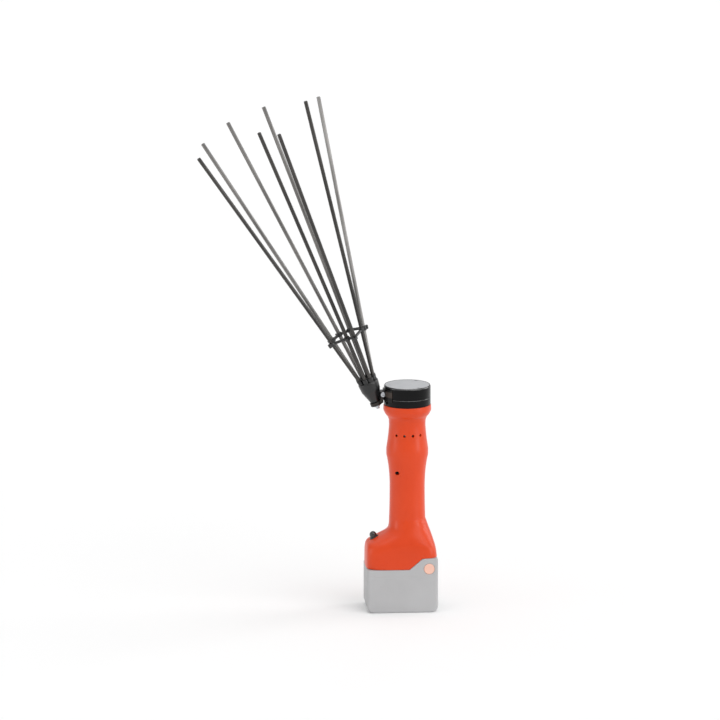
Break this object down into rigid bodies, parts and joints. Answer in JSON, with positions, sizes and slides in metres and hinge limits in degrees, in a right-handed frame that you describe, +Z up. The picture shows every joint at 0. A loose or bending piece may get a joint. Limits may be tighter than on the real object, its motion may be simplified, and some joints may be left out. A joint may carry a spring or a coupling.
{
  "type": "olive harvester",
  "caption": "Cordless hand-held olive harvester: a gripped motor housing on a slide-on battery, with a geared head that swings a leaning fan of slender rods.",
  "frame": {"origin": "on the motor axis, in the plane the battery stands on", "axes": "+Z up along the motor axis, -Y the side with the seen screw hole, -X the side the rods lean to"},
  "size_m": [0.3637, 0.1685, 0.7884],
  "materials": {
    "orange_shell": "moulded, satin",
    "black_head": "glossy black enamel look",
    "grey_lid": "satin plate",
    "brown_plate": "dark brown coating",
    "bright_steel": "bright zinc",
    "gear_steel": "machined, oiled",
    "motor_steel": "zinc plated sheet",
    "magnet": "sintered",
    "carbon_brush": "pressed carbon",
    "core_steel": "laminated sheet",
    "copper": "copper",
    "contact_metal": "plated strip",
    "inner_plastic": "moulded black",
    "green_board": "lacquered board",
    "lead_sheath": "insulated wire",
    "holder_black": "moulded black, satin",
    "rod_carbon": "drawn carbon-fibre rod, semi-gloss",
    "spacer_black": "black rubber",
    "button_black": "black, soft gloss",
    "battery_grey": "plain light grey",
    "release_pale": "pale salmon",
    "cell_wrap": "sleeved cell",
    "spring_steel": "spring wire"
  },
  "bodies": {
    "housing": {"housing_front": "orange_shell", "housing_rear": "orange_shell", "housing_screws": "bright_steel", "motor_can": "motor_steel", "motor_end_bell": "inner_plastic", "motor_magnets": "magnet", "motor_brushes": "carbon_brush", "motor_screws": "bright_steel", "gearbox_base": "black_head", "ring_gear": "gear_steel", "crank_case": "black_head", "slot_plate": "brown_plate", "head_lid": "grey_lid", "lid_screws": "bright_steel", "case_screws": "bright_steel", "rocker_pivot": "gear_steel", "button_bezel": "inner_plastic", "button_spring": "spring_steel", "switch_body": "inner_plastic", "control_board": "green_board", "terminal_block": "inner_plastic", "terminal_blades": "contact_metal", "inner_leads": "lead_sheath"},
    "rotor": {"rotor_shaft": "gear_steel", "armature_core": "core_steel", "armature_windings": "copper", "commutator": "copper", "sun_pinion": "gear_steel"},
    "carrier": {"planet_carrier": "gear_steel", "planet_pins": "gear_steel"},
    "planet_a": {"planet_gear_1": "gear_steel"},
    "planet_b": {"planet_gear_2": "gear_steel"},
    "planet_c": {"planet_gear_3": "gear_steel"},
    "roller": {"crank_roller": "gear_steel"},
    "rocker": {"rocker_lever": "gear_steel", "arm_bracket": "brown_plate", "arm_bolt": "bright_steel", "arm_nuts": "bright_steel", "rod_holder": "holder_black", "holder_bolt": "bright_steel", "rod_1": "rod_carbon", "rod_2": "rod_carbon", "rod_3": "rod_carbon", "rod_4": "rod_carbon", "rod_5": "rod_carbon", "rod_6": "rod_carbon", "rod_7": "rod_carbon", "rod_8": "rod_carbon", "rod_spacer": "spacer_black"},
    "button": {"power_button": "button_black"},
    "battery": {"battery_case": "battery_grey", "battery_top": "battery_grey", "battery_cells": "cell_wrap", "battery_board": "green_board", "battery_contacts": "contact_metal", "battery_screws": "bright_steel", "release_springs": "spring_steel"},
    "release_front": {"release_button_front": "release_pale"},
    "release_rear": {"release_button_rear": "release_pale"}
  },
  "joints": [
    {"name": "carrier_spin", "type": "hinge", "parent": "housing", "child": "carrier", "pos_m": [0, 0, 0.328], "axis": [0, 0, 1], "continuous": true},
    {"name": "rotor_spin", "type": "hinge", "parent": "housing", "child": "rotor", "pos_m": [0, 0, 0.28], "axis": [0, 0, 1], "continuous": true},
    {"name": "planet_a_spin", "type": "hinge", "parent": "carrier", "child": "planet_a", "pos_m": [0.015, 0, 0.322], "axis": [0, 0, 1], "continuous": true},
    {"name": "planet_b_spin", "type": "hinge", "parent": "carrier", "child": "planet_b", "pos_m": [-0.0075, 0.01299, 0.322], "axis": [0, 0, 1], "continuous": true},
    {"name": "planet_c_spin", "type": "hinge", "parent": "carrier", "child": "planet_c", "pos_m": [-0.0075, -0.01299, 0.322], "axis": [0, 0, 1], "continuous": true},
    {"name": "roller_spin", "type": "hinge", "parent": "carrier", "child": "roller", "pos_m": [0.00263, 0.00301, 0.3345], "axis": [0, 0, 1], "continuous": true},
    {"name": "rocker_swing", "type": "hinge", "parent": "housing", "child": "rocker", "pos_m": [-0.026, 0, 0.335], "axis": [0, 0, 1], "range_deg": [-14.8, 2.8]},
    {"name": "button_press", "type": "slide", "parent": "housing", "child": "button", "axis": [0.3907, 0, -0.9205], "range_m": [0, 0.0025], "stiffness_N_per_m": 800, "springref_m": -0.002, "deforming": ["button_spring"]},
    {"name": "battery_slide", "type": "slide", "parent": "housing", "child": "battery", "axis": [1, 0, 0], "range_m": [0, 0.115]},
    {"name": "release_front_press", "type": "slide", "parent": "battery", "child": "release_front", "axis": [0, 1, 0], "range_m": [0, 0.003], "stiffness_N_per_m": 500, "springref_m": -0.002, "deforming": ["release_springs"]},
    {"name": "release_rear_press", "type": "slide", "parent": "battery", "child": "release_rear", "axis": [0, -1, 0], "range_m": [0, 0.003], "stiffness_N_per_m": 500, "springref_m": -0.002}
  ],
  "couplings": [
    {"joint": "rotor_spin", "follows": "carrier_spin", "ratio": 5},
    {"joint": "planet_a_spin", "follows": "carrier_spin", "ratio": -2.6667},
    {"joint": "planet_b_spin", "follows": "carrier_spin", "ratio": -2.6667},
    {"joint": "planet_c_spin", "follows": "carrier_spin", "ratio": -2.6667}
  ]
}
